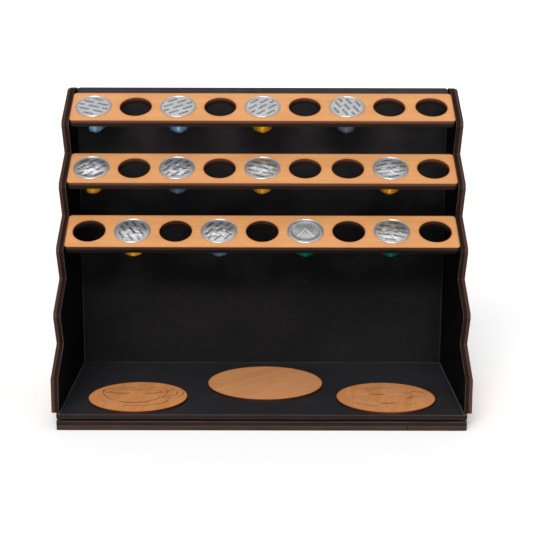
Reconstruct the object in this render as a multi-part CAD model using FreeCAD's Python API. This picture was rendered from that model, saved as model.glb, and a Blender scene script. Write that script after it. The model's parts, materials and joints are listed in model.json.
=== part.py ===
import FreeCAD
import Part

import math
import os

# Stepped rack for single-serve coffee capsules. Three sloping shelves of round holes hang between two
# stepped side panels and a back panel, above a base board that carries three loose coasters for cups.
# Millimetres. The origin is the centre of the footprint, on the surface that the rack stands on.
# +X runs to the right of a person facing the rack, +Y to the back panel and +Z up.

Vector = FreeCAD.Vector
UP = Vector(0, 0, 1)

# Boards and how they join
board = 4.6
facing = 2.7
edge_easing = 0.25
slot_clearance = 0.1
tab_root = 1.0

# Base: two sheets, a recessed spacer and a top panel
base_width = 398.8
base_depth = 190.5
base_corner_radius = 2.0
spacer_thickness = 2.2
spacer_recess = 9.0
bottom_seam_x = 141.0
seam_gap = 0.2

# Sides and back
inner_width = 393.8
rack_height = 318.0
side_front_setback = 3.5
side_corner_radius = 1.5
side_top_radius = 6.0
back_corner_radius = 3.0
nose_back = 1.5
nose_drop = 5.0

# Shelves: three rows of holes on a slope that rises towards the back. The side outline repeats the same
# step twice more below the lowest shelf.
shelf_count = 3
step_count = 5
shelf_slope = 30.0
shelf_depth = 50.0
shelf_length = 393.2
shelf_corner_radius = 4.5
step_back = 28.7
step_up = 59.85
top_row_y = 139.4 - base_depth / 2
top_row_z = 301.65

# Holes
holes_per_shelf = 9
hole_pitch = 43.48
hole_radius = 16.25

# Tabs
shelf_tab_length = 12.0
shelf_tab_offset = 14.0
back_tab_length = 30.0
back_tab_heights = (60.0, 160.0, 260.0)
foot_tab_length = 40.0
foot_tab_positions = (-110.0, 110.0)
side_tab_length = 30.0
side_tab_positions = (-45.0, 40.0)

# Capsule: a thin shell with a rolled rim, a foil lid and the coffee inside. Heights are measured from
# the underside of the rim, which rests on the shelf.
rim_radius = 18.5
rim_bead = 1.1
flange_thickness = 0.4
shell_wall = 0.3
mouth_radius = 14.9
shoulder_radius = 12.2
shoulder_depth = 22.3
shoulder_rounding = 3.0
nose_radius = 4.2
nose_depth = 29.8
nose_rounding = 0.8
lid_thickness = 0.15
headspace = 1.0
fill_clearance = 0.05

# The capsules in each row, counted from the left-hand hole
capsules = {
    1: (1, 3, 5, 7),
    2: (1, 3, 5, 8),
    3: (2, 4, 6, 8),
}

# Coasters: name, radius, centre and whether a cup is engraved on it
coasters = (
    ("coaster_left", 49.5, -124.5, -44.5, True),
    ("coaster_middle", 59.5, 3.3, 5.0, False),
    ("coaster_right", 49.5, 124.5, -45.5, True),
)
engraving_depth = 0.3
engraving_width = 1.2

# The engraved cup. Each line is an ellipse or part of one: its centre from the coaster's centre, then its
# half width and half height.
cup_rim = (-4.0, 19.0, 33.0, 11.5)
cup_surface = (-4.0, 16.5, 26.0, 7.0)
cup_bowl = (-4.0, 19.0, 33.0, 39.0)
cup_foot = (-2.0, -17.0, 15.0, 4.5)
handle_outside = (31.0, 10.0, 14.0, 15.0)
handle_inside = (31.0, 11.0, 8.0, 9.0)
saucer = (-1.0, -12.0, 32.0, 19.0)

# Derived sizes
front_y = -base_depth / 2
rear_y = base_depth / 2
spacer_bottom = 2 * board
top_panel_bottom = spacer_bottom + spacer_thickness
base_top = top_panel_bottom + board
half_inner = inner_width / 2
side_inner_outside = half_inner + board
side_front_y = front_y + side_front_setback
back_front_y = rear_y - board
slope = math.radians(shelf_slope)
shelf_thickness = board + facing
body_taper = (mouth_radius - shoulder_radius) / shoulder_depth


def box(low, high):
    """A box between two corners."""
    size = Vector(*high) - Vector(*low)
    return Part.makeBox(size.x, size.y, size.z, Vector(*low))


def rounded_outline(corners):
    """A closed face from (point, radius) corners, with an arc at each corner that has a radius."""
    points = [Vector(*point) for point, _ in corners]
    starts = []
    ends = []
    arcs = []
    for index, (_, radius) in enumerate(corners):
        here = points[index]
        towards_last = (points[index - 1] - here).normalize()
        towards_next = (points[(index + 1) % len(points)] - here).normalize()
        half_angle = towards_last.getAngle(towards_next) / 2
        reach = radius / math.tan(half_angle)
        start = here + towards_last * reach
        end = here + towards_next * reach
        starts.append(start)
        ends.append(end)
        if radius > 0:
            bisector = (towards_last + towards_next).normalize()
            middle = here + bisector * (radius / math.sin(half_angle) - radius)
            arcs.append(Part.Arc(start, middle, end).toShape())
    lines = []
    for index, end in enumerate(ends):
        lines.append(Part.makeLine(end, starts[(index + 1) % len(starts)]))
    wire = Part.Wire(Part.__sortEdges__(lines + arcs))
    return Part.Face(wire)


def eased(shape, direction, levels):
    """A board with the edges that lie at these distances along a direction taken off a little."""
    edges = []
    for edge in shape.Edges:
        reach = {round(vertex.Point.dot(direction), 3) for vertex in edge.Vertexes}
        if len(reach) == 1 and reach <= {round(level, 3) for level in levels}:
            edges.append(edge)
    return shape.makeFillet(edge_easing, edges)


def board_from(corners, direction, thickness):
    """A board from its outline, a direction through it and its thickness, with eased edges."""
    sheet = rounded_outline(corners).extrude(direction * thickness)
    start = Vector(*corners[0][0]).dot(direction)
    return eased(sheet, direction, (start, start + thickness))


def flat_corners(low, high, radius):
    """The four corners of a level board, each with the same radius."""
    x0, y0, z0 = low
    x1, y1, _ = high
    points = ((x0, y0, z0), (x1, y0, z0), (x1, y1, z0), (x0, y1, z0))
    return [(point, radius) for point in points]


def mirrored(shape):
    """The same shape on the other side of the middle plane."""
    return shape.mirror(Vector(0, 0, 0), Vector(1, 0, 0))


def row_centre(step):
    """The middle of a row's hole line on the shelf's upper surface, for step 0 at the top."""
    return Vector(0, top_row_y - step * step_back, top_row_z - step * step_up)


def along_slope(distance):
    """A move up the slope."""
    return Vector(0, distance * math.cos(slope), distance * math.sin(slope))


def on_shelf(shape, step, across=0.0):
    """A shape made about the shelf's upper surface, laid on that row's slope."""
    tilt = FreeCAD.Rotation(Vector(1, 0, 0), shelf_slope)
    place = FreeCAD.Placement(row_centre(step) + Vector(across, 0, 0), tilt)
    moved = shape.copy()
    moved.Placement = place.multiply(moved.Placement)
    return moved


def hole_x(column):
    """The place of a hole along the shelf, for column 1 on the left."""
    return (column - (holes_per_shelf + 1) / 2) * hole_pitch


# Base


def base_sheet(bottom):
    """One full sheet of the base."""
    low = (-base_width / 2, front_y, bottom)
    high = (base_width / 2, rear_y, bottom)
    return board_from(flat_corners(low, high, base_corner_radius), UP, board)


def base_bottom_sheets():
    """The lowest sheet, which is laid in two parts that meet at a straight seam."""
    whole = base_sheet(0)
    left_edge = bottom_seam_x - seam_gap / 2
    right_edge = bottom_seam_x + seam_gap / 2
    reach = base_width
    left_room = box((-reach, -reach, -board), (left_edge, reach, 2 * board))
    right_room = box((right_edge, -reach, -board), (reach, reach, 2 * board))
    return whole.common(left_room), whole.common(right_room)


def base_spacer():
    """The hidden board that holds the top panel off the sheets below and leaves a shadow gap."""
    low = (-base_width / 2 + spacer_recess, front_y + spacer_recess, spacer_bottom)
    high = (base_width / 2 - spacer_recess, rear_y - spacer_recess, spacer_bottom)
    return board_from(flat_corners(low, high, base_corner_radius), UP, spacer_thickness)


def foot_tab(centre_x, clearance):
    """A back panel tab, or with a clearance the slot for it, through the base top panel."""
    half = foot_tab_length / 2 + clearance
    low = (centre_x - half, back_front_y - clearance, top_panel_bottom)
    high = (centre_x + half, rear_y + clearance, base_top + tab_root)
    return box(low, high)


def side_tab(centre_y, clearance):
    """A right-hand side tab, or with a clearance the notch for it, in the base top panel's end."""
    half = side_tab_length / 2 + clearance
    low = (half_inner - clearance, centre_y - half, top_panel_bottom)
    high = (side_inner_outside, centre_y + half, base_top + tab_root)
    return box(low, high)


def base_top_panel():
    """The panel that the back, the sides and the coasters stand on."""
    panel = base_sheet(top_panel_bottom)
    for centre_x in foot_tab_positions:
        panel = panel.cut(foot_tab(centre_x, slot_clearance))
    for centre_y in side_tab_positions:
        notch = side_tab(centre_y, slot_clearance)
        panel = panel.cut(notch)
        panel = panel.cut(mirrored(notch))
    return panel


# Back and sides


def back_tab(height, clearance):
    """A tab on the back panel's right-hand edge, or the notch for it in the side's rear edge."""
    half = back_tab_length / 2 + clearance
    low = (half_inner - tab_root, back_front_y - clearance, height - half)
    high = (side_inner_outside, rear_y, height + half)
    return box(low, high)


def back_panel():
    """The upright panel between the sides, with tabs into them and into the base."""
    corners = (
        ((-half_inner, back_front_y, base_top), 0),
        ((half_inner, back_front_y, base_top), 0),
        ((half_inner, back_front_y, rack_height), back_corner_radius),
        ((-half_inner, back_front_y, rack_height), back_corner_radius),
    )
    panel = board_from(corners, Vector(0, 1, 0), board)
    for centre_x in foot_tab_positions:
        panel = panel.fuse(foot_tab(centre_x, 0))
    for height in back_tab_heights:
        tab = back_tab(height, 0)
        panel = panel.fuse(tab)
        panel = panel.fuse(mirrored(tab))
    return panel.removeSplitter()


def side_corners():
    """The side's outline: steps that follow the shelves' slope, each with a short blunt nose."""
    first_rise = (side_front_y - row_centre(step_count - 1).y) * math.tan(slope)
    first_height = row_centre(step_count - 1).z + first_rise
    corners = [
        ((side_front_y, base_top), side_corner_radius),
        ((side_front_y, first_height), side_corner_radius),
    ]
    for step in range(step_count - 1, 0, -1):
        notch = row_centre(step) + along_slope(shelf_depth / 2)
        peak = row_centre(step - 1) - along_slope(shelf_depth / 2)
        corners.append(((notch.y, notch.z), side_corner_radius))
        corners.append(((peak.y - nose_back, peak.z - nose_drop), side_corner_radius))
        corners.append(((peak.y, peak.z), side_corner_radius))
    top_y = top_row_y + (rack_height - top_row_z) / math.tan(slope)
    corners.append(((top_y, rack_height), side_top_radius))
    corners.append(((rear_y, rack_height), side_corner_radius))
    corners.append(((rear_y, base_top), side_corner_radius))
    return corners


def side_sheet(inside, thickness):
    """One right-hand sheet with the side's outline, from its inside face outwards."""
    corners = [((inside, y, z), radius) for (y, z), radius in side_corners()]
    return board_from(corners, Vector(1, 0, 0), thickness)


def shelf_tab(offset, clearance):
    """A right-hand shelf tab, or with a clearance the slot for it in the side's inner sheet."""
    half = shelf_tab_length / 2 + clearance
    low = (shelf_length / 2 - tab_root, offset - half, -shelf_thickness - clearance)
    high = (side_inner_outside, offset + half, -facing + clearance)
    return box(low, high)


def side_inner_sheet():
    """The black inner sheet of the right-hand side, slotted for the shelves and the back panel."""
    sheet = side_sheet(half_inner, board)
    for centre_y in side_tab_positions:
        sheet = sheet.fuse(side_tab(centre_y, 0))
    for height in back_tab_heights:
        sheet = sheet.cut(back_tab(height, slot_clearance))
    for step in range(shelf_count):
        for offset in (-shelf_tab_offset, shelf_tab_offset):
            sheet = sheet.cut(on_shelf(shelf_tab(offset, slot_clearance), step))
    return sheet.removeSplitter()


def side_outer_sheet():
    """The wood-faced outer sheet of the right-hand side, which covers the ends of the tabs."""
    return side_sheet(side_inner_outside, facing)


# Shelves


def shelf_blank(bottom, thickness):
    """A shelf sheet with its holes, made level about the shelf's upper surface, with sharp edges."""
    low = (-shelf_length / 2, -shelf_depth / 2, bottom)
    high = (shelf_length / 2, shelf_depth / 2, bottom)
    outline = flat_corners(low, high, shelf_corner_radius)
    sheet = rounded_outline(outline).extrude(UP * thickness)
    for column in range(1, holes_per_shelf + 1):
        start = Vector(hole_x(column), 0, -2 * shelf_thickness)
        sheet = sheet.cut(Part.makeCylinder(hole_radius, 4 * shelf_thickness, start, UP))
    return sheet


def shelf_top_sheet(step):
    """The beech sheet that the capsules' rims rest on."""
    return on_shelf(eased(shelf_blank(-facing, facing), UP, (0,)), step)


def shelf_lower_sheet(step):
    """The black sheet under the beech one, with two tabs at each end."""
    sheet = eased(shelf_blank(-shelf_thickness, board), UP, (-shelf_thickness,))
    for offset in (-shelf_tab_offset, shelf_tab_offset):
        tab = shelf_tab(offset, 0)
        sheet = sheet.fuse(tab)
        sheet = sheet.fuse(mirrored(tab))
    return on_shelf(sheet.removeSplitter(), step)


# Capsules


def turned(corners):
    """A solid turned about the upright axis from the (radius, height, rounding) of its half section."""
    outline = [((radius, 0, height), rounding) for radius, height, rounding in corners]
    return rounded_outline(outline).revolve(Vector(0, 0, 0), UP, 360)


def body_section(inset, top):
    """The capsule's body drawn in by a distance, from a height near its mouth down to its nose."""
    return [
        (mouth_radius - inset + top * body_taper, top, 0),
        (shoulder_radius - inset, -shoulder_depth, shoulder_rounding - inset),
        (nose_radius - inset, -nose_depth + inset, nose_rounding - inset),
        (0, -nose_depth + inset, 0),
    ]


def capsule_shell():
    """The thin shell: a rolled bead, a flat flange and a body that tapers to a cone."""
    bead = rim_bead / 2
    inside = body_section(shell_wall, flange_thickness)
    section = body_section(0, 0) + inside[::-1]
    section.append((rim_radius - bead, flange_thickness, 0))
    section.append((rim_radius - bead, 0, 0))
    ring = Part.makeTorus(rim_radius - bead, bead, Vector(0, 0, bead), UP)
    return turned(section).fuse(ring).removeSplitter()


def capsule_lid():
    """The foil disc sealed onto the flange, inside the bead."""
    radius = rim_radius - rim_bead
    return Part.makeCylinder(radius, lid_thickness, Vector(0, 0, flange_thickness), UP)


def capsule_coffee():
    """The ground coffee, which fills the shell up to a small headspace."""
    section = body_section(shell_wall + fill_clearance, -headspace)
    section.append((0, -headspace, 0))
    return turned(section)


# Coasters


def oval(ellipse, growth=0.0):
    """A flat oval plate as thick as the engraving is deep, with its edge moved out by a distance."""
    centre_x, centre_y, half_width, half_height = ellipse
    centre = Vector(centre_x, centre_y, 0)
    long_half = max(half_width, half_height) + growth
    short_half = min(half_width, half_height) + growth
    curve = Part.Ellipse(centre, long_half, short_half)
    plate = Part.Face(Part.Wire([curve.toShape()])).extrude(UP * engraving_depth)
    if half_height > half_width:
        plate.rotate(centre, UP, 90)
    return plate


def line(ellipse):
    """An oval line of the engraving's width."""
    return oval(ellipse, engraving_width / 2).cut(oval(ellipse, -engraving_width / 2))


def lower_half(ellipse):
    """An oval line below the oval's centre."""
    _, centre_y, _, _ = ellipse
    reach = base_width
    room = box((-reach, -reach, 0), (reach, centre_y, engraving_depth))
    return line(ellipse).common(room)


def cup_engraving():
    """A plain line drawing of a cup with a handle on a saucer, about the coaster's centre."""
    inside_cup = oval(cup_bowl, engraving_width / 2)
    lines = [line(cup_surface), lower_half(cup_bowl), lower_half(cup_foot)]
    for outside in (line(handle_outside), line(handle_inside), lower_half(saucer)):
        lines.append(outside.cut(inside_cup))
    return line(cup_rim).fuse(lines)


def coaster(radius, centre_x, centre_y, engraved):
    """A round beech coaster that lies loose on the base."""
    disc = eased(Part.makeCylinder(radius, facing, Vector(0, 0, 0), UP), UP, (0, facing))
    if engraved:
        drawing = cup_engraving()
        drawing.translate(UP * (facing - engraving_depth))
        disc = disc.cut(drawing)
    disc.translate(Vector(centre_x, centre_y, base_top))
    return disc


# Every piece, by the name of its node


def base_pieces():
    """The base's five pieces."""
    left, right = base_bottom_sheets()
    return {
        "base_bottom_sheet_left": left,
        "base_bottom_sheet_right": right,
        "base_middle_sheet": base_sheet(board),
        "base_spacer": base_spacer(),
        "base_top_panel": base_top_panel(),
    }


def frame_pieces():
    """The back panel and the two layers of each side."""
    inner = side_inner_sheet()
    outer = side_outer_sheet()
    return {
        "back_panel": back_panel(),
        "side_right_inner_sheet": inner,
        "side_right_outer_sheet": outer,
        "side_left_inner_sheet": mirrored(inner),
        "side_left_outer_sheet": mirrored(outer),
    }


def shelf_pieces():
    """Two sheets for each shelf, numbered from the top."""
    pieces = {}
    for step in range(shelf_count):
        pieces[f"shelf_{step + 1}_top_sheet"] = shelf_top_sheet(step)
        pieces[f"shelf_{step + 1}_lower_sheet"] = shelf_lower_sheet(step)
    return pieces


def capsule_pieces():
    """Three pieces for each capsule, named by row and hole."""
    pieces = {}
    shell = capsule_shell()
    lid = capsule_lid()
    coffee = capsule_coffee()
    for row, columns in capsules.items():
        for column in columns:
            name = f"capsule_{row}_{column}"
            across = hole_x(column)
            pieces[f"{name}_shell"] = on_shelf(shell, row - 1, across)
            pieces[f"{name}_lid"] = on_shelf(lid, row - 1, across)
            pieces[f"{name}_coffee"] = on_shelf(coffee, row - 1, across)
    return pieces


def coaster_pieces():
    """The three coasters."""
    pieces = {}
    for name, radius, centre_x, centre_y, engraved in coasters:
        pieces[name] = coaster(radius, centre_x, centre_y, engraved)
    return pieces


def main():
    """Builds every piece and writes one STEP file for each."""
    os.makedirs("parts", exist_ok=True)
    pieces = {}
    pieces.update(base_pieces())
    pieces.update(frame_pieces())
    pieces.update(shelf_pieces())
    pieces.update(capsule_pieces())
    pieces.update(coaster_pieces())
    for name, shape in pieces.items():
        solid = shape.Solids[0]
        if len(shape.Solids) != 1 or not solid.isValid():
            raise ValueError(f"{name} is not one valid solid")
        solid.exportStep(f"parts/{name}.step")
        print(f"{name}: {solid.Volume / 1000:.2f} cm3")


main()
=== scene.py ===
import json
import math
import random

import bmesh
import bpy
from mathutils import Matrix, Vector, noise


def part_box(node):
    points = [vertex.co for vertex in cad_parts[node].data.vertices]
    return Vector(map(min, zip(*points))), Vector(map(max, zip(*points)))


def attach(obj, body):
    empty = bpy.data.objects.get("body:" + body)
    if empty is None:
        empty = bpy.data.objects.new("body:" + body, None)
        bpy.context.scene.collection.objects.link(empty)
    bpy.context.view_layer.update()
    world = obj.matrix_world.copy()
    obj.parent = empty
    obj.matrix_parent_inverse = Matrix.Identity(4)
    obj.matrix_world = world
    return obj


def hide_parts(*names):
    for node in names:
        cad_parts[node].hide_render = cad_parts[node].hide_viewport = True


# Looks for a stepped coffee capsule rack: black laminated boards with scorched edges, beech shelves and
# coasters, and foil-lidded capsules. Metres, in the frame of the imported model.

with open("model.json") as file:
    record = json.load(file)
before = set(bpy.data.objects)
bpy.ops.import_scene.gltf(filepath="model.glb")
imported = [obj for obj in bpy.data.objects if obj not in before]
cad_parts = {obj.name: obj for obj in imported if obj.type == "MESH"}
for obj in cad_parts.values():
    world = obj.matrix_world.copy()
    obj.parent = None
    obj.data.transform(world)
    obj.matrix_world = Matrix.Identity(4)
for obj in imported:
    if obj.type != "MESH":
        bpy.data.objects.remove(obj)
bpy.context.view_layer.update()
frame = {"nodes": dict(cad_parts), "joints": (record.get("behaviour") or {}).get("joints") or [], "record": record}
nodes = frame["nodes"]
record = frame["record"]
mounts = {mount["name"]: mount for mount in record["mounts"]}
lifts = {joint["child"]: Vector(joint["axis"]) for joint in frame["joints"]}
slots = {part["node"]: part["material_slot"] for part in record["subparts"]}

MM = 0.001
SHELVES = (1, 2, 3)
X_AXIS = Vector((1, 0, 0))
Y_AXIS = Vector((0, 1, 0))
Z_AXIS = Vector((0, 0, 1))
SHELF_UP = lifts["capsule_1_1"].normalized()
SLOPE_AXIS = SHELF_UP.cross(X_AXIS)
HOLE_RADIUS = mounts["capsule_hole_1_2"]["dims"]["r_mm"] * MM
HOLE_PITCH = mounts["capsule_hole_1_9"]["pos_m"][0] - mounts["capsule_hole_1_8"]["pos_m"][0]


def extent(node):
    """A node's size along each axis."""
    low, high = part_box(node)
    return high - low


def middle(node):
    """The middle of a node's box."""
    low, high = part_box(node)
    return (low + high) / 2


FACING = extent("coaster_middle").z
BOARD = extent("base_middle_sheet").z


def shelf_centre(shelf):
    """The middle of a shelf's upper surface."""
    return middle(f"shelf_{shelf}_top_sheet") + SHELF_UP * FACING / 2


# Shader helpers


class Shader:
    """Builds one material's node tree, with a short call for each kind of node."""

    def __init__(self, name):
        self.material = bpy.data.materials.new(name)
        self.material.use_nodes = True
        self.tree = self.material.node_tree
        self.surface = self.tree.nodes["Principled BSDF"]
        coordinates = self.tree.nodes.new("ShaderNodeTexCoord")
        self.position = coordinates.outputs["Object"]
        self.normal = coordinates.outputs["Normal"]

    def link(self, value, socket):
        """Joins an output, or sets a plain value."""
        if isinstance(value, bpy.types.NodeSocket):
            self.tree.links.new(value, socket)
        else:
            socket.default_value = value

    def math(self, operation, *values, clamp=False):
        """A Math node."""
        node = self.tree.nodes.new("ShaderNodeMath")
        node.operation = operation
        node.use_clamp = clamp
        for value, socket in zip(values, node.inputs):
            self.link(value, socket)
        return node.outputs[0]

    def dot(self, vector, axis):
        """How far a vector reaches along an axis."""
        node = self.tree.nodes.new("ShaderNodeVectorMath")
        node.operation = "DOT_PRODUCT"
        self.link(vector, node.inputs[0])
        self.link(tuple(axis), node.inputs[1])
        return node.outputs["Value"]

    def offset(self, axis, origin):
        """How far the surface lies from an origin along an axis."""
        return self.math("SUBTRACT", self.dot(self.position, axis), origin.dot(axis))

    def length(self, first, second):
        """The length of two offsets at right angles to each other."""
        squares = self.math("MULTIPLY_ADD", first, first, self.math("MULTIPLY", second, second))
        return self.math("SQRT", squares)

    def combine(self, x, y, z):
        """A vector from three numbers."""
        node = self.tree.nodes.new("ShaderNodeCombineXYZ")
        for value, socket in zip((x, y, z), node.inputs):
            self.link(value, socket)
        return node.outputs[0]

    def ramp(self, value, low, high, start=0.0, end=1.0):
        """A smooth step from start to end as value goes from low to high."""
        node = self.tree.nodes.new("ShaderNodeMapRange")
        node.interpolation_type = "SMOOTHSTEP"
        for item, socket in zip((value, low, high, start, end), node.inputs):
            self.link(item, socket)
        return node.outputs[0]

    def noise(self, vector, scale=1.0, detail=2.0, roughness=0.5, distortion=0.0):
        """Fractal noise from 0 to 1 about 0.5."""
        node = self.tree.nodes.new("ShaderNodeTexNoise")
        self.link(vector, node.inputs["Vector"])
        node.inputs["Scale"].default_value = scale
        node.inputs["Detail"].default_value = detail
        node.inputs["Roughness"].default_value = roughness
        node.inputs["Distortion"].default_value = distortion
        return node.outputs["Fac"]

    def cells(self, vector, scale=1.0):
        """Distance to the nearest of many scattered points."""
        node = self.tree.nodes.new("ShaderNodeTexVoronoi")
        self.link(vector, node.inputs["Vector"])
        node.inputs["Scale"].default_value = scale
        return node.outputs["Distance"]

    def mix(self, amount, first, second):
        """One colour turning into another."""
        node = self.tree.nodes.new("ShaderNodeMix")
        node.data_type = "RGBA"
        self.link(amount, node.inputs["Factor"])
        self.link(first, node.inputs["A"])
        self.link(second, node.inputs["B"])
        return node.outputs["Result"]

    def blend(self, amount, first, second):
        """One number turning into another."""
        node = self.tree.nodes.new("ShaderNodeMix")
        self.link(amount, node.inputs["Factor"])
        self.link(first, node.inputs["A"])
        self.link(second, node.inputs["B"])
        return node.outputs["Result"]

    def bump(self, height, depth):
        """A surface normal from a height from 0 to 1, whose full step is depth in metres."""
        node = self.tree.nodes.new("ShaderNodeBump")
        node.inputs["Distance"].default_value = depth
        self.link(height, node.inputs["Height"])
        return node.outputs["Normal"]

    def brush(self, axis, amount):
        """Stretches the surface's highlights along an axis of the object."""
        node = self.tree.nodes.new("ShaderNodeVectorTransform")
        node.vector_type = "VECTOR"
        node.convert_from = "OBJECT"
        node.convert_to = "WORLD"
        self.link(tuple(axis), node.inputs[0])
        self.link(node.outputs[0], self.surface.inputs["Tangent"])
        self.link(amount, self.surface.inputs["Anisotropic"])

    def finish(self, colour, roughness, normal=None, metallic=0.0, specular=0.5):
        """Joins the surface's main inputs and returns the material."""
        self.link(colour, self.surface.inputs["Base Color"])
        self.link(roughness, self.surface.inputs["Roughness"])
        self.link(metallic, self.surface.inputs["Metallic"])
        self.link(specular, self.surface.inputs["Specular IOR Level"])
        if normal is not None:
            self.link(normal, self.surface.inputs["Normal"])
        return self.material


def rgb(red, green, blue):
    """A screen colour from 0 to 255, as the shader's linear colour."""
    linear = []
    for part in (red, green, blue):
        part /= 255
        linear.append(part / 12.92 if part <= 0.04045 else ((part + 0.055) / 1.055) ** 2.4)
    return (*linear, 1.0)


def grain_space(shader, along, across, up, seed):
    """A board's own coordinates: along the grain, across it and up through it, moved by a seed."""
    spots = [shader.dot(shader.position, axis) for axis in (along, across, up)]
    return [shader.math("ADD", spot, seed * step) for spot, step in zip(spots, SEED_STEPS)]


def stretched(shader, spots, scales):
    """Coordinates scaled differently along each axis, in features per metre."""
    return shader.combine(*[shader.math("MULTIPLY", spot, scale) for spot, scale in zip(spots, scales)])


# Board materials

# How far each step of a board's seed moves its pattern along, across and through it, in metres
SEED_STEPS = (1.3, 0.7, 0.4)

# How near a sharp corner shows its pale tone of wear and painted highlight, how deep a board's fine relief is and
# how rough a cut edge is
CORNER_REACH = 0.5 * MM
BOARD_RELIEF = 0.03 * MM
EDGE_ROUGHNESS = 0.7

# Tones of small marks: dust, char, glue and engraving, a painted highlight along the tops of cut edges, and pale
# corners that are partly wear and partly painted highlight
DUST = rgb(96, 93, 90)
EDGE_TOP_HIGHLIGHT = rgb(96, 70, 58)
BLACK_WEAR_AND_HIGHLIGHT = rgb(92, 76, 68)
CHAR = rgb(64, 33, 20)
GLUE_FILM = rgb(22, 13, 10)
BEECH_WEAR_AND_HIGHLIGHT = rgb(120, 82, 62)
ENGRAVED_SCORCH = rgb(112, 68, 42)
ENGRAVED_FIBRE = rgb(206, 156, 116)


def shaded(colour, factor):
    """A linear colour made darker or lighter."""
    return tuple(part * factor for part in colour[:3]) + (1.0,)


def cut_edge(shader, spots, level, thickness, tone, dark):
    """Laser-cut edge colour and height: a scorched brown core, streaked along the board."""
    striations = shader.noise(stretched(shader, spots, (900, 900, 60)), detail=3, roughness=0.7)
    blotches = shader.noise(stretched(shader, spots, (30, 30, 90)), detail=3, roughness=0.6)
    plies = shader.noise(stretched(shader, spots, (9, 9, 900)), detail=2)
    share = shader.math("DIVIDE", level, thickness)
    amount = shader.math("MULTIPLY_ADD", striations, 0.5, shader.math("MULTIPLY", blotches, 0.7))
    amount = shader.math("MULTIPLY_ADD", plies, 0.8, shader.math("SUBTRACT", amount, 0.55))
    colour = shader.mix(shader.math("MULTIPLY_ADD", share, 0.12, amount, clamp=True), dark, tone)
    return colour, striations


def corner_wear_and_highlight(shader, up):
    """1 along the eased corner between a face and an edge, and 0 on both."""
    slant = shader.math("ABSOLUTE", shader.dot(shader.normal, up))
    rising = shader.ramp(slant, 0.1, 0.4)
    return shader.math("MULTIPLY", rising, shader.ramp(slant, 0.75, 0.95, 1.0, 0.0))


def sharp_corner(shader):
    """1 where the surface turns within a short reach, and 0 where it is flat."""
    bevel = shader.tree.nodes.new("ShaderNodeBevel")
    bevel.samples = 6
    bevel.inputs["Radius"].default_value = CORNER_REACH
    geometry = shader.tree.nodes.new("ShaderNodeNewGeometry")
    node = shader.tree.nodes.new("ShaderNodeVectorMath")
    node.operation = "DOT_PRODUCT"
    shader.link(bevel.outputs["Normal"], node.inputs[0])
    shader.link(geometry.outputs["Normal"], node.inputs[1])
    return shader.ramp(node.outputs["Value"], 0.999, 0.985)


def lined(shader, colour, lines, patches):
    """A colour with straight lines and wide bands across it, among them joint lines and bands of painted light
    and painted shade: each is an axis, an offset, a half width, a colour and a strength. Both sides of the middle
    get a line where the axis is X."""
    for axis, offset, half_width, tone, strength in lines:
        place = shader.dot(shader.position, axis)
        if axis == X_AXIS:
            place = shader.math("ABSOLUTE", place)
        away = shader.math("ABSOLUTE", shader.math("SUBTRACT", place, offset))
        amount = shader.ramp(away, half_width * 0.5, half_width, strength, 0.0)
        colour = shader.mix(shader.math("MULTIPLY", amount, patches), colour, tone)
    return colour


def laminate_face(shader, spots, deep, pale):
    """Laminate's colour, roughness and height: a clouded, pebbled black film with a few specks of dust."""
    clouds = shader.noise(stretched(shader, spots, (9, 14, 14)), detail=4, roughness=0.6)
    weave = shader.noise(stretched(shader, spots, (260, 1500, 1500)), detail=2)
    pebbles = shader.noise(stretched(shader, spots, (700, 700, 700)), detail=3, roughness=0.7)
    light = shaded(pale, 1.7)
    face = shader.mix(shader.ramp(clouds, 0.35, 0.65), deep, pale)
    face = shader.mix(shader.ramp(pebbles, 0.5, 0.3, 0.0, 0.7), face, shaded(deep, 0.6))
    face = shader.mix(shader.ramp(pebbles, 0.5, 0.72, 0.0, 0.6), face, light)
    face = shader.mix(shader.ramp(weave, 0.62, 0.8, 0.0, 0.35), face, light)
    dust = shader.cells(stretched(shader, spots, (330, 330, 330)))
    speck = shader.ramp(dust, 0.045, 0.075, 0.8, 0.0)
    rare = shader.ramp(shader.noise(stretched(shader, spots, (60, 60, 60))), 0.56, 0.66)
    face = shader.mix(shader.math("MULTIPLY", speck, rare), face, DUST)
    return face, shader.math("MULTIPLY_ADD", clouds, 0.22, 0.38), pebbles


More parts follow.
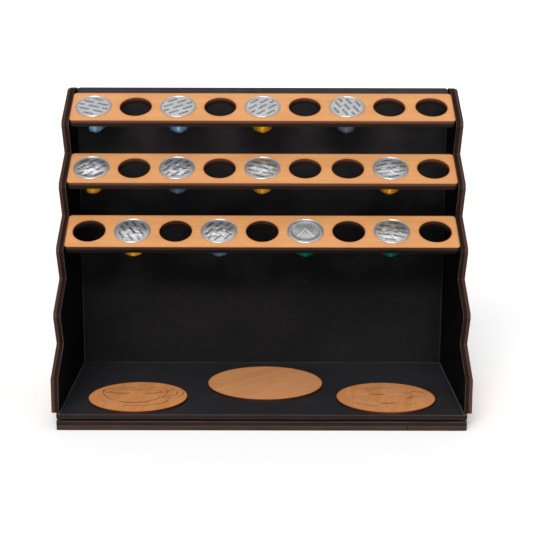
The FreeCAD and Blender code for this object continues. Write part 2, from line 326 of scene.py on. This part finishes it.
def black_board(up, node, seed, look, joints=(), seams=()):
    """Black laminate with a scorched brown core at its cut edges, a painted highlight along each edge's top, and
    lines on its faces and edges, among them bands of painted light and painted shade.
    """
    (deep, pale), (pale_edge, dark_edge), top_highlight, gloss = look
    upright = abs(up.x) > 0.5
    along = Y_AXIS if upright else X_AXIS
    shader = Shader(f"black_{node}")
    spots = grain_space(shader, along, up.cross(along), up, seed)
    level = shader.offset(up, middle(node) - up * BOARD / 2)
    facing = shader.ramp(shader.math("ABSOLUTE", shader.dot(shader.normal, up)), 0.7, 0.9)
    patches = shader.ramp(shader.noise(stretched(shader, spots, (25, 25, 25)), detail=3), 0.3, 0.6, 0.35)
    face, face_roughness, pebbles = laminate_face(shader, spots, deep, pale)
    edge, striations = cut_edge(shader, spots, level, BOARD, pale_edge, dark_edge)
    # A painted highlight along the top of each cut edge, in patches.
    edge_top_highlight = shader.ramp(shader.math("SUBTRACT", BOARD, level), 0.5 * MM, 1.0 * MM, top_highlight, 0.0)
    edge = shader.mix(shader.math("MULTIPLY", edge_top_highlight, patches), edge, EDGE_TOP_HIGHLIGHT)
    # Joint lines on the faces, and on the back bands of painted light and painted shade.
    face = lined(shader, face, joints, patches)
    edge = lined(shader, edge, seams, patches)
    colour = shader.mix(facing, edge, face)
    # Pale tone along eased corners, and along sharp corners of upright boards: partly wear, partly painted
    # highlight.
    worn = corner_wear_and_highlight(shader, up)
    if upright:
        worn = shader.math("MAXIMUM", worn, sharp_corner(shader))
    colour = shader.mix(shader.math("MULTIPLY", worn, patches), colour, BLACK_WEAR_AND_HIGHLIGHT)
    roughness = shader.blend(facing, EDGE_ROUGHNESS, face_roughness)
    height = shader.blend(facing, shader.math("MULTIPLY", striations, 3.0), pebbles)
    return shader.finish(colour, roughness, shader.bump(height, BOARD_RELIEF), specular=gloss)


def beech_figure(shader, spots, tones):
    """Beech's colour and height: soft long figure, fine fibre and short dark flecks."""
    pale, middle, deep = tones
    figure = shader.noise(stretched(shader, spots, (7, 130, 130)), detail=3, distortion=0.6)
    fibre = shader.noise(stretched(shader, spots, (28, 900, 900)), detail=4, roughness=0.7)
    flecks = shader.noise(stretched(shader, spots, (300, 2100, 2100)), detail=1)
    clouds = shader.noise(stretched(shader, spots, (14, 22, 22)), detail=2)
    base = shader.mix(shader.ramp(figure, 0.3, 0.7), pale, middle)
    base = shader.mix(shader.ramp(clouds, 0.4, 0.75, 0.0, 0.2), base, deep)
    base = shader.mix(shader.ramp(fibre, 0.44, 0.72, 0.0, 0.5), base, deep)
    marks = shader.ramp(flecks, 0.62, 0.72, 0.0, 0.35)
    base = shader.mix(marks, base, shaded(deep, 0.5))
    height = shader.math("SUBTRACT", fibre, shader.math("MULTIPLY", marks, 0.8))
    return base, height


def scorched(shader, spots, face, distance, glow):
    """A face with the orange glow and the thin burnt line that a laser leaves beside its cut."""
    ragged = shader.noise(stretched(shader, spots, (700, 700, 700)), detail=2)
    patches = shader.noise(stretched(shader, spots, (60, 60, 60)), detail=1)
    reach = shader.math("MULTIPLY_ADD", patches, 1.6 * MM, 0.6 * MM)
    near = shader.math("DIVIDE", distance, reach)
    smoke = shader.math("POWER", 2.718, shader.math("MULTIPLY", near, -1.0))
    smoke = shader.math("MULTIPLY", smoke, shader.math("MULTIPLY_ADD", ragged, 0.5, 0.55), clamp=True)
    face = shader.mix(smoke, face, glow)
    char = shader.ramp(distance, 0.15 * MM, 0.5 * MM, 0.8, 0.0)
    return shader.mix(char, face, CHAR)


def beech_board(up, along, node, seed, tones, edges, glow=None, halo=None, burn=None):
    """Beech-faced board. halo gives the distance to the nearest cut, and burn colours the engraving."""
    pale_edge, dark_edge = edges
    shader = Shader(f"beech_{node}")
    spots = grain_space(shader, along, up.cross(along), up, seed)
    level = shader.offset(up, middle(node) - up * FACING / 2)
    facing = shader.ramp(shader.dot(shader.normal, up), 0.7, 0.9)
    face, height = beech_figure(shader, spots, tones)
    if halo is not None:
        face = scorched(shader, spots, face, halo(shader), glow)
    edge, striations = cut_edge(shader, spots, level, FACING, pale_edge, dark_edge)
    film = shader.ramp(level, 0.2 * MM, 0.5 * MM, 0.6, 0.0)
    edge = shader.mix(film, edge, GLUE_FILM)
    # Pale tone along the sides' sharp corners: partly wear, partly painted highlight.
    if abs(up.x) > 0.5:
        edge = shader.mix(shader.math("MULTIPLY", sharp_corner(shader), 0.45), edge, BEECH_WEAR_AND_HIGHLIGHT)
    colour = shader.mix(facing, edge, face)
    if burn is not None:
        colour = burn(shader, colour)
    face_roughness = shader.math("MULTIPLY_ADD", height, 0.15, 0.45)
    roughness = shader.blend(facing, EDGE_ROUGHNESS, face_roughness)
    relief = shader.blend(facing, shader.math("MULTIPLY", striations, 2.0), height)
    return shader.finish(colour, roughness, shader.bump(relief, BOARD_RELIEF), specular=0.2)


def shelf_halo(shelf):
    """The distance on a shelf's face to its nearest hole or outer edge."""
    centre = shelf_centre(shelf)
    size = extent(f"shelf_{shelf}_top_sheet")
    half_length = size.x / 2
    half_depth = (size.y - FACING * abs(SHELF_UP.y)) / SLOPE_AXIS.y / 2

    def halo(shader):
        x = shader.offset(X_AXIS, centre)
        v = shader.offset(SLOPE_AXIS, centre)
        column = shader.math("ROUND", shader.math("DIVIDE", x, HOLE_PITCH))
        from_column = shader.math("SUBTRACT", x, shader.math("MULTIPLY", column, HOLE_PITCH))
        hole = shader.math("SUBTRACT", shader.length(from_column, v), HOLE_RADIUS)
        side = shader.math("SUBTRACT", half_length, shader.math("ABSOLUTE", x))
        front = shader.math("SUBTRACT", half_depth, shader.math("ABSOLUTE", v))
        nearest = shader.math("MINIMUM", hole, shader.math("MINIMUM", side, front))
        return shader.math("MAXIMUM", nearest, 0.0)

    return halo


def round_halo(node):
    """The distance on a round board to its rim."""
    centre = middle(node)
    radius = extent(node).x / 2

    def halo(shader):
        from_centre = shader.length(shader.offset(X_AXIS, centre), shader.offset(Y_AXIS, centre))
        return shader.math("MAXIMUM", shader.math("SUBTRACT", radius, from_centre), 0.0)

    return halo


def engraved_burn(node, paleness):
    """Raised pale fibre with dark scorch in the engraved lines, which lie well inside the rim."""
    centre = middle(node)
    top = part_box(node)[1].z
    inside = extent(node).x / 2 - 2 * MM

    def burn(shader, colour):
        depth = shader.math("SUBTRACT", top, shader.dot(shader.position, Z_AXIS))
        from_centre = shader.length(shader.offset(X_AXIS, centre), shader.offset(Y_AXIS, centre))
        within = shader.ramp(from_centre, inside - 1 * MM, inside, 1.0, 0.0)
        cut = shader.math("MULTIPLY", within, shader.ramp(depth, 0.03 * MM, 0.12 * MM, 0.0, 0.8))
        patches = shader.noise(shader.position, scale=50, detail=3)
        amount = shader.ramp(patches, 0.62 - paleness, 0.74 - paleness)
        tone = shader.mix(amount, ENGRAVED_SCORCH, ENGRAVED_FIBRE)
        return shader.mix(cut, colour, tone)

    return burn


def paint(node, material):
    """Gives a CAD node its material."""
    for item in nodes[node].material_slots:
        item.material = material


# Black laminate: its tones, its edge's tones, the strength of the painted highlight along its edge's top, and its
# gloss
CORE = (rgb(66, 49, 42), rgb(36, 26, 23))
DARK_CORE = (rgb(43, 31, 26), rgb(23, 16, 13))
# An edge brown darker than the cut's own, for the sides and the base's top panel: partly painted shade.
SIDE_CORE = (rgb(36, 25, 21), rgb(19, 13, 11))
GREY_EDGE = (rgb(88, 86, 92), rgb(58, 57, 61))
BLACK = (rgb(29, 28, 29), rgb(36, 35, 37))
NIGHT = (rgb(22, 22, 23), rgb(28, 27, 28))
# A lighter black for the base's top: painted light and sheen.
PAINTED_LIGHT_BLACK = (rgb(33, 33, 35), rgb(38, 38, 40))
# A near-black for the inner sides and the spacer sunk in the base's gap: painted shade.
PAINTED_SHADE_BLACK = (rgb(11, 10, 10), rgb(16, 15, 15))
BASE_SHEET = (BLACK, CORE, 0.0, 0.06)
MIDDLE_SHEET = (BLACK, DARK_CORE, 0.35, 0.06)
TOP_PANEL = (PAINTED_LIGHT_BLACK, SIDE_CORE, 0.15, 0.12)
BACK = (NIGHT, GREY_EDGE, 0.0, 0.02)
SIDE = (PAINTED_SHADE_BLACK, SIDE_CORE, 0.2, 0.04)


def paint_boards():
    """Materials for the base, the back and the sides."""
    back_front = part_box("back_panel")[0].y
    half_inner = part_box("side_right_inner_sheet")[0].x
    seam_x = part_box("base_bottom_sheet_left")[1].x
    rack_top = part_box("back_panel")[1].z
    under_top_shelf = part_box("shelf_1_lower_sheet")[0].z
    under_low_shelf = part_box("shelf_3_lower_sheet")[0].z
    # Pale lines along the joints: partly glue, partly a painted highlight on the eased edges there.
    joint = rgb(92, 92, 86)
    # On the back: a painted highlight along its top, a band of painted light below the top shelf and a band of
    # painted shade below the lowest shelf.
    painted_highlight_strip = rgb(82, 81, 87)
    painted_light_band = rgb(40, 38, 39)
    painted_shade_band = rgb(8, 8, 8)
    seam = rgb(6, 4, 3)
    on_base = [(X_AXIS, half_inner, 1.3 * MM, joint, 0.7), (Y_AXIS, back_front, 2.6 * MM, joint, 0.5)]
    back_joints_and_painted_light = [
        (X_AXIS, half_inner, 1.1 * MM, joint, 0.3),
        (Z_AXIS, rack_top, 11 * MM, painted_highlight_strip, 1.0),
        (Z_AXIS, under_top_shelf, 70 * MM, painted_light_band, 0.8),
        (Z_AXIS, under_low_shelf - 12 * MM, 66 * MM, painted_shade_band, 0.85),
    ]
    at_seam = [(X_AXIS, abs(seam_x), 1.1 * MM, seam, 1.4)]
    boards = (
        ("base_bottom_sheet_left", Z_AXIS, BASE_SHEET, (), ()),
        ("base_bottom_sheet_right", Z_AXIS, BASE_SHEET, (), at_seam),
        ("base_middle_sheet", Z_AXIS, MIDDLE_SHEET, (), ()),
        ("base_spacer", Z_AXIS, SIDE, (), ()),
        ("base_top_panel", Z_AXIS, TOP_PANEL, on_base, ()),
        ("back_panel", Y_AXIS, BACK, back_joints_and_painted_light, ()),
        ("side_left_inner_sheet", X_AXIS, SIDE, (), ()),
        ("side_right_inner_sheet", X_AXIS, SIDE, (), ()),
    )
    for seed, (node, up, look, joints, seams) in enumerate(boards, start=1):
        paint(node, black_board(up, node, seed, look, joints, seams))
    side_tones = (rgb(190, 138, 94), rgb(178, 124, 80), rgb(152, 100, 62))
    side_edges = (rgb(76, 43, 30), rgb(34, 19, 14))
    for seed, (side, outwards) in enumerate((("left", -X_AXIS), ("right", X_AXIS)), start=12):
        node = f"side_{side}_outer_sheet"
        paint(node, beech_board(outwards, Z_AXIS, node, seed, side_tones, side_edges))


def paint_shelves():
    """Beech faces with a scorch line at each hole, over black sheets."""
    tones = (rgb(193, 140, 89), rgb(187, 133, 83), rgb(166, 111, 65))
    # The lowest shelf's darker edge and core tones are painted shade.
    edges = {
        1: (rgb(112, 70, 51), rgb(60, 37, 27)),
        2: (rgb(106, 66, 48), rgb(56, 34, 25)),
        3: (rgb(62, 39, 29), rgb(32, 19, 14)),
    }
    cores = {1: DARK_CORE, 2: DARK_CORE, 3: (rgb(24, 17, 15), rgb(12, 8, 7))}
    glow = rgb(170, 98, 48)
    for shelf in SHELVES:
        top = f"shelf_{shelf}_top_sheet"
        lower = f"shelf_{shelf}_lower_sheet"
        material = beech_board(SHELF_UP, X_AXIS, top, 20 + shelf, tones, edges[shelf],
                               glow=glow, halo=shelf_halo(shelf))
        paint(top, material)
        look = (BLACK, cores[shelf], 0.4, 0.06)
        paint(lower, black_board(SHELF_UP, lower, 30 + shelf, look))


def paint_coasters():
    """Darker beech, each with its grain turned its own way."""
    tones = {
        "coaster_left": (rgb(200, 140, 86), rgb(189, 124, 73), rgb(168, 104, 59)),
        "coaster_middle": (rgb(203, 146, 99), rgb(194, 132, 85), rgb(173, 110, 69)),
        "coaster_right": (rgb(196, 136, 86), rgb(186, 121, 73), rgb(164, 101, 59)),
    }
    turns = {"coaster_left": 82, "coaster_middle": 46, "coaster_right": 82}
    paleness = {"coaster_left": 0.1, "coaster_right": 0.21}
    # The coasters' edge tones: partly scorched brown, partly painted shade.
    edges = (rgb(60, 27, 14), rgb(22, 8, 5))
    glow = rgb(198, 106, 42)
    for number, node in enumerate(tones):
        turn = math.radians(turns[node])
        along = Vector((math.cos(turn), math.sin(turn), 0))
        burn = engraved_burn(node, paleness[node]) if node in paleness else None
        material = beech_board(Z_AXIS, along, node, 40 + number, tones[node], edges,
                               glow=glow, halo=round_halo(node), burn=burn)
        paint(node, material)


# Capsules

BODY_COLOURS = {
    "capsule_light_blue": (rgb(150, 202, 240), rgb(112, 166, 210)),
    "capsule_gold": (rgb(255, 200, 56), rgb(240, 162, 16)),
    "capsule_slate_blue": (rgb(140, 154, 180), rgb(100, 112, 138)),
    "capsule_steel_blue": (rgb(108, 144, 176), rgb(72, 100, 130)),
    "capsule_teal_green": (rgb(8, 134, 112), rgb(3, 96, 82)),
}

# The bare rim, and the tint of the body's metal where it is seen at a slant
BARE_METAL = rgb(200, 200, 203)
SLANT_TINT = rgb(60, 60, 60)

# The shell's section, in millimetres from the axis and above the shelf's surface
MOUTH = Vector((14.9, 0, 0))
SHOULDER = Vector((12.2, 0, -22.3))
NOSE = Vector((4.2, 0, -29.8))
TIP = Vector((0, 0, -29.8))
SHOULDER_ROUNDING = 3.0
NOSE_ROUNDING = 0.8
WALL = 0.3
FLANGE = 0.4
BEAD = 0.55
BEAD_RADIUS = 17.95
BEAD_START = math.radians(-90)
BEAD_END = math.radians(195)
CONE_STEPS = 12
BEAD_STEPS = 18
SECTORS = 144

# The facets below the shoulder: how many, over how many millimetres they set in, and how far their corners
# stand out against a flat-sided nose
FACETS = 12
FACETS_SET_IN = 2.5
CORNER_GROWTH = 1.4

# Each lid's print turned from the rack's length in degrees, then in millimetres how far it swells, how far
# its rear stands up and how deep its creases are
LIDS = {
    "capsule_1_1": (-19, 0.1, 0.0, 0.06), "capsule_1_3": (29, 0.1, 0.0, 0.06),
    "capsule_1_5": (42, 0.1, 0.0, 0.06), "capsule_1_7": (-63, 0.1, 0.0, 0.06),
    "capsule_2_1": (40, 0.8, 1.5, 0.35), "capsule_2_3": (46, 0.6, 0.3, 0.45),
    "capsule_2_5": (-16, 0.7, 1.0, 0.3), "capsule_2_8": (12, 0.8, 1.0, 0.3),
    "capsule_3_2": (-59, 0.65, 0.2, 0.3), "capsule_3_4": (48, 0.6, 0.1, 0.35),
    "capsule_3_6": (0, 0.0, 0.5, 0.0), "capsule_3_8": (-12, 0.65, 0.2, 0.3),
}
PLAIN_LID = "capsule_3_6"

# The foil's tones, its print and the crimped ring's shade and radius
DULL_FOIL = rgb(184, 185, 188)
BRIGHT_FOIL = rgb(212, 212, 213)
INK = rgb(52, 52, 56)
CRIMP_SHADE = rgb(120, 120, 124)
CRIMP_RADIUS = 16.7 * MM

# A lid's mesh: its rings and sectors, how far out its sealed ring starts, the crimps' number and height,
# the foil's thickness and about how long its folds are
LID_RINGS = 36
LID_SECTORS = 120
SEAL_SHARE = 0.87
CRIMPS = 40
CRIMP_HEIGHT = 0.03 * MM
FOIL = 0.06 * MM
FOLD_LENGTH = 7 * MM

# The plain lid: how far it is sunk, and the height, place and half width of the fold pressed into it
SINK = 0.8 * MM
CHEVRON_HEIGHT = 0.25 * MM
CHEVRON_PLACE = 5 * MM
CHEVRON_HALF = 0.8 * MM


def capsule_metal(body, colours, centre):
    """Anodised body below the flange, finely brushed, with a bare bright rim."""
    light, deep = colours
    shader = Shader(f"anodised_{body}")
    height = shader.offset(SHELF_UP, centre)
    turn = shader.math("ARCTAN2", shader.offset(SLOPE_AXIS, centre), shader.offset(X_AXIS, centre))
    round_body = (shader.math("COSINE", turn), shader.math("SINE", turn), height)
    brushed = shader.noise(stretched(shader, round_body, (6, 6, 120)), detail=3)
    colour = shader.mix(brushed, deep, light)
    bare = shader.ramp(height, 0.0, 0.15 * MM)
    colour = shader.mix(bare, colour, BARE_METAL)
    roughness = shader.blend(bare, shader.math("MULTIPLY_ADD", brushed, 0.06, 0.34), 0.35)
    metallic = shader.blend(bare, 0.95, 0.7)
    shader.brush(SHELF_UP, 1.0)
    shader.link(SLANT_TINT, shader.surface.inputs["Specular Tint"])
    normal = shader.bump(brushed, 0.03 * MM)
    return shader.finish(colour, roughness, normal, metallic=metallic)


def finished_piece(mesh, name):
    """A smooth-shaded object made from a closed bmesh."""
    bmesh.ops.recalc_face_normals(mesh, faces=list(mesh.faces))
    data = bpy.data.meshes.new(name)
    mesh.to_mesh(data)
    mesh.free()
    data.shade_smooth()
    piece = bpy.data.objects.new(name, data)
    bpy.context.scene.collection.objects.link(piece)
    return piece


def rounded_corner(before, corner, after, radius, steps):
    """Points along the arc that rounds a corner of a section."""
    back = (before - corner).normalized()
    ahead = (after - corner).normalized()
    half = back.angle(ahead) / 2
    centre = corner + (back + ahead).normalized() * radius / math.sin(half)
    first = (corner + back * radius / math.tan(half) - centre).normalized()
    last = (corner + ahead * radius / math.tan(half) - centre).normalized()
    return [centre + first.slerp(last, step / steps) * radius for step in range(steps + 1)]


def shell_section():
    """The shell's closed section, from the outside of its tip round the rim to the inside of its tip."""
    wall = rounded_corner(TIP, NOSE, SHOULDER, NOSE_ROUNDING, 4)
    shoulder = rounded_corner(NOSE, SHOULDER, MOUTH, SHOULDER_ROUNDING, 8)
    wall += [wall[-1].lerp(shoulder[0], step / CONE_STEPS) for step in range(1, CONE_STEPS)] + shoulder
    wall += [shoulder[-1].lerp(MOUTH, step / CONE_STEPS) for step in range(1, CONE_STEPS + 1)]
    outside = [TIP, TIP.lerp(NOSE, 0.5)] + wall
    inside = []
    for before, point, after in zip([outside[0]] + outside, outside, outside[1:] + [outside[-1]]):
        along = (after - before).normalized()
        inside.append(point + Vector((-along.z, 0, along.x)) * WALL)
    bead = []
    for step in range(BEAD_STEPS + 1):
        turn = BEAD_START + (BEAD_END - BEAD_START) * step / BEAD_STEPS
        bead.append(Vector((BEAD_RADIUS + BEAD * math.cos(turn), 0, BEAD + BEAD * math.sin(turn))))
    return outside + bead + [Vector((inside[-1].x, 0, FLANGE))] + inside[::-1]


def faceted(point, turn):
    """How much wider the shell is at a turn round its faceted nose than at a facet's middle."""
    facet = 2 * math.pi / FACETS
    from_middle = (turn + facet / 2) % facet - facet / 2
    corner = 1 / math.cos(from_middle) - 1
    depth = min(max((SHOULDER.z - point.z) / FACETS_SET_IN, 0.0), 1.0)
    return 1 + CORNER_GROWTH * corner * depth * depth * (3 - 2 * depth)


def shell_mesh(body, draw, centre):
    """The thin shell, turned from its section, with flat facets round its nose."""
    mesh = bmesh.new()
    start = draw.uniform(0, 2 * math.pi)
    rows = []
    for point in shell_section():
        row = []
        for sector in range(SECTORS if point.x > 0 else 1):
            turn = 2 * math.pi * sector / SECTORS
            radius = point.x * faceted(point, turn) * MM
            spoke = X_AXIS * math.cos(turn + start) + SLOPE_AXIS * math.sin(turn + start)
            row.append(mesh.verts.new(centre + spoke * radius + SHELF_UP * point.z * MM))
        rows.append(row)
    for first, second in zip(rows, rows[1:]):
        for sector in range(SECTORS):
            after = (sector + 1) % SECTORS
            if len(first) == 1:
                mesh.faces.new((first[0], second[after], second[sector]))
            elif len(second) == 1:
                mesh.faces.new((first[sector], first[after], second[0]))
            else:
                mesh.faces.new((first[sector], first[after], second[after], second[sector]))
    return finished_piece(mesh, f"{body}_fluted_shell")


def printed_marks(shader, x, v, turn):
    """Rows of small wavy marks, from 0 to 1, turned by an angle."""
    row_pitch = 6.4 * MM
    mark_pitch = 15.5 * MM
    mark_half = 5.3 * MM
    stroke_half = 0.6 * MM
    wave_length = 1.7 * MM
    swell_length = 5.3 * MM
    across = shader.math("MULTIPLY_ADD", x, math.cos(turn), shader.math("MULTIPLY", v, math.sin(turn)))
    down = shader.math("MULTIPLY_ADD", v, math.cos(turn), shader.math("MULTIPLY", x, -math.sin(turn)))
    row = shader.math("ROUND", shader.math("DIVIDE", down, row_pitch))
    shift = shader.math("MULTIPLY", shader.math("PINGPONG", row, 1.0), mark_pitch / 2)
    wave = shader.math("SINE", shader.math("MULTIPLY", across, 2 * math.pi / wave_length))
    swell = shader.math("SINE", shader.math("MULTIPLY", across, 2 * math.pi / swell_length))
    swing = shader.math("MULTIPLY", wave, shader.math("MULTIPLY_ADD", swell, 0.3 * MM, 0.9 * MM))
    line = shader.math("MULTIPLY_ADD", row, row_pitch, swing)
    off_line = shader.math("ABSOLUTE", shader.math("SUBTRACT", down, line))
    place = shader.math("ADD", across, shift)
    mark = shader.math("ROUND", shader.math("DIVIDE", place, mark_pitch))
    nearest = shader.math("MULTIPLY", mark, mark_pitch)
    from_mark = shader.math("ABSOLUTE", shader.math("SUBTRACT", place, nearest))
    in_mark = shader.ramp(from_mark, mark_half, mark_half + 0.4 * MM, 1.0, 0.0)
    stroke = shader.ramp(off_line, stroke_half, stroke_half + 0.5 * MM, 1.0, 0.0)
    return shader.math("MULTIPLY", in_mark, stroke)


def foil_metal(body, centre):
    """Silver foil, finely wrinkled, with rows of small dark marks on every lid but the plain one."""
    shader = Shader(f"foil_{body}")
    x = shader.offset(X_AXIS, centre)
    v = shader.offset(SLOPE_AXIS, centre)
    radius = shader.length(x, v)
    spots = (x, v, 0.0)
    clouds = shader.noise(stretched(shader, spots, (70, 70, 0)), detail=3, distortion=0.8)
    colour = shader.mix(clouds, DULL_FOIL, BRIGHT_FOIL)
    if body != PLAIN_LID:
        marks = printed_marks(shader, x, v, math.radians(LIDS[body][0]))
        inside = shader.ramp(radius, 15.9 * MM, 16.3 * MM, 1.0, 0.0)
        worn = shader.noise(stretched(shader, spots, (300, 300, 0)), detail=2)
        faded = shader.ramp(worn, 0.3, 0.5, 0.7, 1.0)
        ink = shader.math("MULTIPLY", shader.math("MULTIPLY", marks, inside), faded)
        colour = shader.mix(ink, colour, INK)
    from_crimp = shader.math("ABSOLUTE", shader.math("SUBTRACT", radius, CRIMP_RADIUS))
    colour = shader.mix(shader.ramp(from_crimp, 0.2 * MM, 0.6 * MM, 0.4, 0.0), colour, CRIMP_SHADE)
    roughness = shader.math("MULTIPLY_ADD", clouds, 0.16, 0.26)
    wrinkles = shader.noise(stretched(shader, spots, (190, 190, 0)), detail=4, distortion=1.2)
    normal = shader.bump(wrinkles, 0.1 * MM)
    return shader.finish(colour, roughness, normal, metallic=0.9)


def coffee_grounds():
    """Fine dark brown grounds."""
    shader = Shader("coffee_grounds")
    grains = shader.cells(shader.position, scale=1800)
    tint = shader.noise(shader.position, scale=900, detail=2)
    colour = shader.mix(tint, rgb(38, 22, 14), rgb(74, 46, 30))
    return shader.finish(colour, 0.9, shader.bump(grains, 0.3 * MM), specular=0.2)


def lid_height(body, offset, x, v, seal):
    """How far a lid's surface stands above its flat sealed ring, inside the seal."""
    _, swelling, lean, creases = LIDS[body]
    share = min(math.hypot(x, v) / seal, 1.0)
    leaning = lean * MM * v / seal
    if body == PLAIN_LID:
        slant = abs(x) * 1.2 + v * 0.9
        chevron = math.exp(-((slant - CHEVRON_PLACE) / CHEVRON_HALF) ** 2) * (1 - share ** 6)
        return CHEVRON_HEIGHT * chevron + leaning * (1 - share ** 4) - SINK * (1 - share ** 8)
    fold = noise.fractal(Vector((x, v, 0)) / FOLD_LENGTH + offset, 0.8, 2.1, 3)
    risen = creases * MM * fold + leaning
    return risen * (1 - share ** 4) + swelling * MM * (1 - share ** 2)


def lid_mesh(body, draw, rim_radius, centre):
    """A thin foil disc, crimped onto the flange and swollen, creased or sunk inside it."""
    seal = rim_radius * SEAL_SHARE
    offset = Vector((draw.uniform(-9, 9), draw.uniform(-9, 9), draw.uniform(-9, 9)))
    mesh = bmesh.new()
    rows = []
    for ring in range(LID_RINGS + 1):
        radius = rim_radius * ring / LID_RINGS
        row = []
        for sector in range(LID_SECTORS if ring else 1):
            turn = 2 * math.pi * sector / LID_SECTORS
            x = radius * math.cos(turn)
            v = radius * math.sin(turn)
            height = lid_height(body, offset, x, v, seal)
            if radius > seal:
                height += CRIMP_HEIGHT * math.cos(turn * CRIMPS)
            row.append(mesh.verts.new(centre + X_AXIS * x + SLOPE_AXIS * v + SHELF_UP * height))
        rows.append(row)
    hub = rows[0][0]
    for sector in range(LID_SECTORS):
        mesh.faces.new((hub, rows[1][sector], rows[1][(sector + 1) % LID_SECTORS]))
    for inner, outer in zip(rows[1:], rows[2:]):
        for sector in range(LID_SECTORS):
            after = (sector + 1) % LID_SECTORS
            mesh.faces.new((inner[sector], outer[sector], outer[after], inner[after]))
    geometry = bmesh.ops.extrude_face_region(mesh, geom=list(mesh.faces))
    lower = [item for item in geometry["geom"] if isinstance(item, bmesh.types.BMVert)]
    bmesh.ops.translate(mesh, verts=lower, vec=-SHELF_UP * FOIL)
    return finished_piece(mesh, f"{body}_foil_lid")


def dress_capsules():
    """Shell, lid and coffee of every capsule."""
    grounds = coffee_grounds()
    for body in lifts:
        if not body.startswith("capsule"):
            continue
        _, row, column = body.split("_")
        lid_centre = middle(f"{body}_lid")
        lid_radius = extent(f"{body}_lid").x / 2
        hole_centre = shelf_centre(int(row)) + X_AXIS * lid_centre.x
        colours = BODY_COLOURS[slots[f"{body}_shell"]]
        paint(f"{body}_coffee", grounds)
        draw = random.Random(int(row) * 10 + int(column))
        lid = lid_mesh(body, draw, lid_radius, lid_centre)
        lid.data.materials.append(foil_metal(body, hole_centre))
        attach(lid, body)
        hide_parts(f"{body}_lid")
        shell = shell_mesh(body, draw, hole_centre)
        shell.data.materials.append(capsule_metal(body, colours, hole_centre))
        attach(shell, body)
        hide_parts(f"{body}_shell")


# Stage


def make_floor():
    """A wide pale floor that curves up into a wall far behind the rack."""
    shader = Shader("pale_floor")
    tone = shader.noise(shader.position, scale=3.0, detail=2)
    colour = shader.mix(tone, rgb(233, 233, 233), rgb(236, 236, 236))
    shader.finish(colour, 1.0, specular=0.0)
    half_width = 12.0
    front = -12.0
    bend = 3.0
    radius = 1.0
    wall_top = 1.8
    steps = 16
    profile = [(front, 0.0)]
    for step in range(steps + 1):
        turn = math.radians(90 * step / steps)
        profile.append((bend + radius * math.sin(turn), radius - radius * math.cos(turn)))
    profile.append((bend + radius, wall_top))
    corners = [(x, y, z) for y, z in profile for x in (-half_width, half_width)]
    faces = [(2 * i, 2 * i + 1, 2 * i + 3, 2 * i + 2) for i in range(len(profile) - 1)]
    data = bpy.data.meshes.new("floor")
    data.from_pydata(corners, [], faces)
    data.shade_smooth()
    data.materials.append(shader.material)
    floor = bpy.data.objects.new("floor", data)
    bpy.context.scene.collection.objects.link(floor)


# Each light's rise, its turn from the rack's front and its spread in degrees, then its strength
LIGHTS = {
    "front_light": (36, -8, 38, 3.2),
    "low_light": (9, 2, 12, 0.5),
    "top_light": (80, 0, 50, 0.85),
    "rear_light": (68, 180, 50, 0.18),
}
LIGHT_ALL_ROUND = 0.28


def make_lights():
    """Weak light from all round, a soft key light in front and weaker ones low down, above and behind."""
    scene = bpy.context.scene
    world = bpy.data.worlds.new("studio")
    world.use_nodes = True
    background = world.node_tree.nodes["Background"]
    background.inputs["Color"].default_value = (1, 1, 1, 1)
    background.inputs["Strength"].default_value = LIGHT_ALL_ROUND
    scene.world = world
    for name, (rise, round_from_front, spread, strength) in LIGHTS.items():
        data = bpy.data.lights.new(name, "SUN")
        data.angle = math.radians(spread)
        data.energy = strength
        light = bpy.data.objects.new(name, data)
        turn = math.radians(round_from_front)
        lift = math.radians(rise)
        level = Vector((math.sin(turn), -math.cos(turn), 0))
        towards = level * math.cos(lift) + Z_AXIS * math.sin(lift)
        light.rotation_euler = towards.to_track_quat("Z", "Y").to_euler()
        light.location = towards * 2
        scene.collection.objects.link(light)
    scene.view_settings.view_transform = "Standard"


def make_camera():
    """A long lens a little above the rack, looking slightly down."""
    data = bpy.data.cameras.new("camera")
    data.lens = 87.82
    data.sensor_width = 36.0
    data.clip_start = 0.05
    data.clip_end = 100.0
    camera = bpy.data.objects.new("camera", data)
    place = Vector((0.00246, -1.29981, 0.41094))
    down = math.radians(11.644)
    turn = math.radians(0.086)
    roll = math.radians(0.140)
    level = Vector((math.sin(turn), math.cos(turn), 0))
    forward = level * math.cos(down) - Z_AXIS * math.sin(down)
    right = Vector((math.cos(turn), -math.sin(turn), 0))
    up = right.cross(forward)
    rolled_right = right * math.cos(roll) + up * math.sin(roll)
    rolled_up = up * math.cos(roll) - right * math.sin(roll)
    axes = Matrix((rolled_right, rolled_up, -forward)).transposed()
    camera.matrix_world = Matrix.Translation(place) @ axes.to_4x4()
    bpy.context.scene.collection.objects.link(camera)
    bpy.context.scene.camera = camera


make_floor()
make_lights()
make_camera()
paint_boards()
paint_shelves()
paint_coasters()
dress_capsules()
